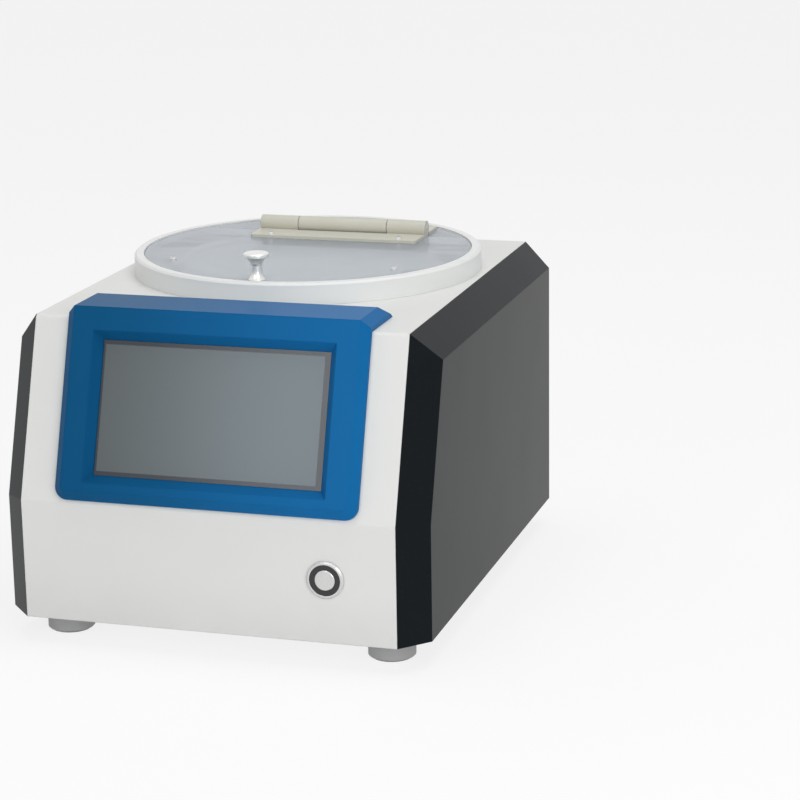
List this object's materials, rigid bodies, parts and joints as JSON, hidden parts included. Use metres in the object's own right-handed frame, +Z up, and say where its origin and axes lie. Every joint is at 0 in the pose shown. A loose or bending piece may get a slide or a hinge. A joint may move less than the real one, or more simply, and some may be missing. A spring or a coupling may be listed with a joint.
{
  "type": "spin coater",
  "caption": "Bench spin coater with a sloping touch screen, a process bowl under a hinged clear lid, a vacuum chuck on a motor spindle and black side covers.",
  "frame": {"origin": "on the table under the middle of the overall box", "axes": "+X to the object's right seen from the front, +Y to the rear, +Z up; the screen faces -Y"},
  "size_m": [0.296, 0.37, 0.2511],
  "materials": {
    "white_paint": "satin powder coat",
    "tray_steel": "galvanised sheet",
    "black_cover": "polished black",
    "blue_bezel": "satin moulded blue",
    "screen_glass": "dark display glass, switched off",
    "screen_module": "plain",
    "button_metal": "polished stainless",
    "button_ring": "dark light ring",
    "collar_white": "satin white",
    "bowl_plastic": "smooth pale grey",
    "seal_rubber": "matt",
    "clear_lid": "clear acrylic",
    "hinge_beige": "satin beige",
    "knob_silver": "turned and polished",
    "screw_steel": "plain steel",
    "machined_aluminium": "machined",
    "motor_iron": "laminated",
    "foot_grey": "turned, grey",
    "valve_black": "moulded",
    "hose_blue": "soft tube",
    "port_brass": "plated",
    "board_green": "circuit board"
  },
  "bodies": {
    "root": {"base_tray": "tray_steel", "bearing_lower": "screw_steel", "bearing_upper": "screw_steel", "bowl_collar": "collar_white", "bowl_gasket": "seal_rubber", "button_light_ring": "button_ring", "button_spring": "screw_steel", "catch_magnets": "screw_steel", "collar_screws": "screw_steel", "control_board": "board_green", "cover_screws": "screw_steel", "display_glass": "screen_glass", "display_module": "screen_module", "drain_pipe": "bowl_plastic", "fixed_leaf_screws": "screw_steel", "foot_front_left": "foot_grey", "foot_front_right": "foot_grey", "foot_pads": "seal_rubber", "foot_rear_left": "foot_grey", "foot_rear_right": "foot_grey", "foot_screws": "screw_steel", "front_top_shell": "white_paint", "hinge_fixed_leaf": "hinge_beige", "hinge_pin": "screw_steel", "inlet_pins": "port_brass", "lid_rear_plate": "clear_lid", "motor_housing": "machined_aluminium", "motor_plate": "machined_aluminium", "motor_screws": "screw_steel", "motor_stator": "motor_iron", "panel_screws": "screw_steel", "plate_standoffs": "screw_steel", "power_button_body": "button_metal", "power_button_nut": "button_metal", "power_inlet": "valve_black", "power_supply": "tray_steel", "rear_panel": "white_paint", "rotary_union": "machined_aluminium", "screen_bezel": "blue_bezel", "side_cover_left": "black_cover", "side_cover_right": "black_cover", "side_panel_left": "white_paint", "side_panel_right": "white_paint", "solenoid_valve": "valve_black", "splash_bowl": "bowl_plastic", "splash_ring": "bowl_plastic", "vacuum_hoses": "hose_blue", "vacuum_port": "port_brass"},
    "lid": {"lid_flap": "clear_lid", "lid_knob": "knob_silver", "knob_screw": "screw_steel", "lid_catch_screws": "screw_steel", "hinge_moving_leaf": "hinge_beige", "moving_leaf_screws": "screw_steel"},
    "spindle": {"spindle_shaft": "screw_steel", "motor_rotor": "motor_iron", "spindle_o_ring": "seal_rubber", "drive_pin": "screw_steel"},
    "chuck": {"vacuum_chuck": "machined_aluminium"},
    "button": {"button_cap": "button_metal"}
  },
  "joints": [
    {"name": "lid_hinge", "type": "hinge", "parent": "root", "child": "lid", "pos_m": [0.008, 0.10527, 0.23845], "axis": [-1, 0, 0], "range_deg": [0, 100]},
    {"name": "spindle_spin", "type": "hinge", "parent": "root", "child": "spindle", "pos_m": [0, 0.04527, 0.1846], "axis": [0, 0, 1], "continuous": true},
    {"name": "chuck_lift", "type": "slide", "parent": "spindle", "child": "chuck", "axis": [0, 0, 1], "range_m": [0, 0.015]},
    {"name": "button_press", "type": "slide", "parent": "root", "child": "button", "axis": [0, 1, 0], "range_m": [0, 0.0016], "stiffness_N_per_m": 600, "springref_m": -0.003}
  ]
}
